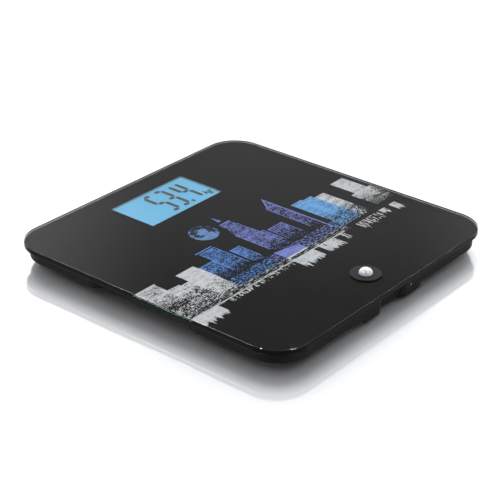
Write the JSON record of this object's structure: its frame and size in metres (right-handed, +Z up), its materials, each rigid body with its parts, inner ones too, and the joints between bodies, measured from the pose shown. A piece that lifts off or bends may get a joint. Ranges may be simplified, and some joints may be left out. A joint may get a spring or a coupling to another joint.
{
  "type": "glass personal scale",
  "caption": "Square black glass personal scale with a backlit display, a domed approach sensor and a night light, on four load-sensing feet.",
  "frame": {"origin": "on the floor, under the centre of the square glass plate", "axes": "+Z up, +Y towards the display edge, +X to the reader's right"},
  "size_m": [0.3, 0.3, 0.029],
  "materials": {
    "back_print": "black back print with a blue and white night skyline",
    "bezel_plastic": "satin dark grey moulding",
    "bright_steel": "nickel plated",
    "button_plastic": "grey moulding",
    "cell_wrap": "printed shrink wrap on a steel can, no text",
    "chip_resin": "black resin",
    "circuit_board": "green board with printed copper",
    "clear_glass": "polished tempered float glass, 5 mm",
    "contact_steel": "nickel plated spring steel",
    "display_glass": "liquid crystal glass over a blue backlight",
    "dome_lens": "milky lens plastic with facets",
    "door_plastic": "fine-textured black moulding",
    "foam": "closed-cell black foam",
    "foot_plastic": "satin black moulding",
    "gauge_resin": "white epoxy over a foil gauge",
    "inner_plastic": "natural moulding",
    "label": "blank silver-grey label",
    "lead_sheath": "grey sheathed lead",
    "led_resin": "clear resin",
    "light_guide": "clear acrylic light guide",
    "load_cell_steel": "stamped steel",
    "pad_rubber": "ribbed dark rubber",
    "polariser": "blue tinted film",
    "tray_plastic": "fine-textured black moulding",
    "zebra_rubber": "layered contact rubber"
  },
  "bodies": {
    "scale_body": {"backprint_film": "back_print", "base_tray": "tray_plastic", "battery_box": "inner_plastic", "battery_cell_1": "cell_wrap", "battery_cell_2": "cell_wrap", "battery_cell_3": "cell_wrap", "battery_contact_plates": "contact_steel", "battery_lead": "lead_sheath", "battery_springs": "contact_steel", "controller_chip": "chip_resin", "foam_tape": "foam", "glass_platform": "clear_glass", "lcd_backlight": "light_guide", "lcd_gasket": "foam", "lcd_panel": "display_glass", "lcd_polariser": "polariser", "lead_sockets": "inner_plastic", "load_cell_front_left": "load_cell_steel", "load_cell_front_right": "load_cell_steel", "load_cell_lead_front_left": "lead_sheath", "load_cell_lead_front_right": "lead_sheath", "load_cell_lead_rear_left": "lead_sheath", "load_cell_lead_rear_right": "lead_sheath", "load_cell_rear_left": "load_cell_steel", "load_cell_rear_right": "load_cell_steel", "main_board": "circuit_board", "main_board_screws": "bright_steel", "motion_sensor_can": "bright_steel", "night_light_led": "led_resin", "rating_label": "label", "sensor_bezel": "bezel_plastic", "sensor_board": "circuit_board", "sensor_board_lead": "lead_sheath", "sensor_board_screws": "bright_steel", "sensor_dome": "dome_lens", "sensor_housing_front_left": "inner_plastic", "sensor_housing_front_right": "inner_plastic", "sensor_housing_rear_left": "inner_plastic", "sensor_housing_rear_right": "inner_plastic", "sensor_lock_ring": "inner_plastic", "strain_gauges": "gauge_resin", "unit_switch": "inner_plastic", "zebra_strips": "zebra_rubber"},
    "battery_door": {"battery_door": "door_plastic"},
    "unit_button": {"unit_button": "button_plastic", "switch_plunger": "inner_plastic"},
    "foot_front_left": {"foot_cap_front_left": "foot_plastic", "foot_pad_front_left": "pad_rubber"},
    "foot_front_right": {"foot_cap_front_right": "foot_plastic", "foot_pad_front_right": "pad_rubber"},
    "foot_rear_left": {"foot_cap_rear_left": "foot_plastic", "foot_pad_rear_left": "pad_rubber"},
    "foot_rear_right": {"foot_cap_rear_right": "foot_plastic", "foot_pad_rear_right": "pad_rubber"}
  },
  "joints": [
    {"name": "foot_front_left_float", "type": "slide", "parent": "scale_body", "child": "foot_front_left", "axis": [0, 0, -1], "range_m": [0, 0.0008]},
    {"name": "foot_front_right_float", "type": "slide", "parent": "scale_body", "child": "foot_front_right", "axis": [0, 0, -1], "range_m": [0, 0.0008]},
    {"name": "foot_rear_left_float", "type": "slide", "parent": "scale_body", "child": "foot_rear_left", "axis": [0, 0, -1], "range_m": [0, 0.0008]},
    {"name": "foot_rear_right_float", "type": "slide", "parent": "scale_body", "child": "foot_rear_right", "axis": [0, 0, -1], "range_m": [0, 0.0008]},
    {"name": "unit_button_press", "type": "slide", "parent": "scale_body", "child": "unit_button", "axis": [0, 0, 1], "range_m": [0, 0.0005], "stiffness_N_per_m": 600},
    {"name": "battery_door_slide", "type": "slide", "parent": "scale_body", "child": "battery_door", "axis": [0, 1, 0], "range_m": [0, 0.046]}
  ]
}
